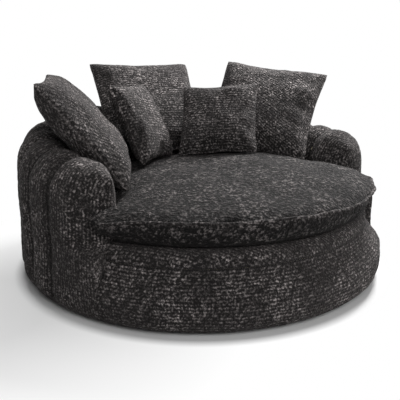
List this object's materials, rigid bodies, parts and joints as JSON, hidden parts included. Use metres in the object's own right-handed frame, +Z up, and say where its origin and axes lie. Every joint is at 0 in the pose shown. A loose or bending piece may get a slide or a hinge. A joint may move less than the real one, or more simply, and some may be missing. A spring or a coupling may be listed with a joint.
{
  "type": "armchair",
  "caption": "Round barrel armchair in charcoal ribbed chenille, with a channelled wrap-round back that slopes down to the arms, a thick crowned seat cushion and loose scatter pillows",
  "frame": {"origin": "on the floor under the middle of the chair's round base", "axes": "+Z is up, the open front of the seat faces -Y and +X is to the right of a viewer who faces that front. Left and right in the node names are that viewer's"},
  "size_m": [1.399, 1.3982, 0.7484],
  "materials": {
    "chenille": "ribbed chenille, charcoal",
    "dust_cloth": "thin non-woven cloth, black",
    "felt": "pressed felt, grey",
    "fibre": "polyester fibre filling, white",
    "foam": "upholstery foam, pale yellow",
    "plywood": "raw birch plywood",
    "bent_board": "raw hardboard",
    "glide_plastic": "moulded, matt black",
    "spring_wire": "drawn spring steel",
    "steel": "zinc plated",
    "zip_tape": "woven tape, black",
    "zip_metal": "dark nickel"
  },
  "bodies": {
    "chair": {"glides": "glide_plastic", "glide_screws": "steel", "dust_cover": "dust_cloth", "bottom_ring": "plywood", "cross_rails": "plywood", "base_posts": "plywood", "post_screws": "steel", "base_board": "bent_board", "deck_ring": "plywood", "seat_springs": "spring_wire", "spring_clips": "steel", "spring_felt": "felt", "deck_foam": "foam", "deck_cover": "chenille", "band_foam": "foam", "band_cover": "chenille", "back_ribs": "plywood", "back_rail": "plywood", "rail_screws": "steel", "back_inner_board": "bent_board", "back_outer_board": "bent_board", "left_arm_board": "plywood", "right_arm_board": "plywood", "back_foam": "foam", "back_wrap": "chenille"},
    "seat_cushion": {"seat_cover": "chenille", "seat_core": "foam", "seat_zip": "zip_tape"},
    "zip_pull": {"zip_slider": "zip_metal"},
    "left_pillow": {"left_pillow_cover": "chenille", "left_pillow_insert": "fibre"},
    "back_pillow": {"back_pillow_cover": "chenille", "back_pillow_insert": "fibre"},
    "right_pillow": {"right_pillow_cover": "chenille", "right_pillow_insert": "fibre"},
    "small_left_pillow": {"small_left_pillow_cover": "chenille", "small_left_pillow_insert": "fibre"},
    "small_centre_pillow": {"small_centre_pillow_cover": "chenille", "small_centre_pillow_insert": "fibre"}
  },
  "joints": [
    {"name": "seat_lift", "type": "slide", "parent": "chair", "child": "seat_cushion", "axis": [0, 0, 1], "range_m": [0, 0.3]},
    {"name": "zip_run", "type": "hinge", "parent": "seat_cushion", "child": "zip_pull", "pos_m": [0, 0, 0.3318], "axis": [0.035, 0.04, 0.9986], "range_deg": [0, 84]},
    {"name": "left_lift", "type": "slide", "parent": "seat_cushion", "child": "left_pillow", "axis": [-0.2983, 0.1596, 0.9411], "range_m": [0, 0.5]},
    {"name": "back_lift", "type": "slide", "parent": "seat_cushion", "child": "back_pillow", "axis": [0.0764, 0.3425, 0.9364], "range_m": [0, 0.5]},
    {"name": "right_lift", "type": "slide", "parent": "seat_cushion", "child": "right_pillow", "axis": [0.333, 0.2106, 0.9191], "range_m": [0, 0.5]},
    {"name": "small_left_lift", "type": "slide", "parent": "back_pillow", "child": "small_left_pillow", "axis": [-0.1082, 0.2034, 0.9731], "range_m": [0, 0.5]},
    {"name": "small_centre_lift", "type": "slide", "parent": "right_pillow", "child": "small_centre_pillow", "axis": [0.2061, 0.2562, 0.9444], "range_m": [0, 0.5]}
  ]
}
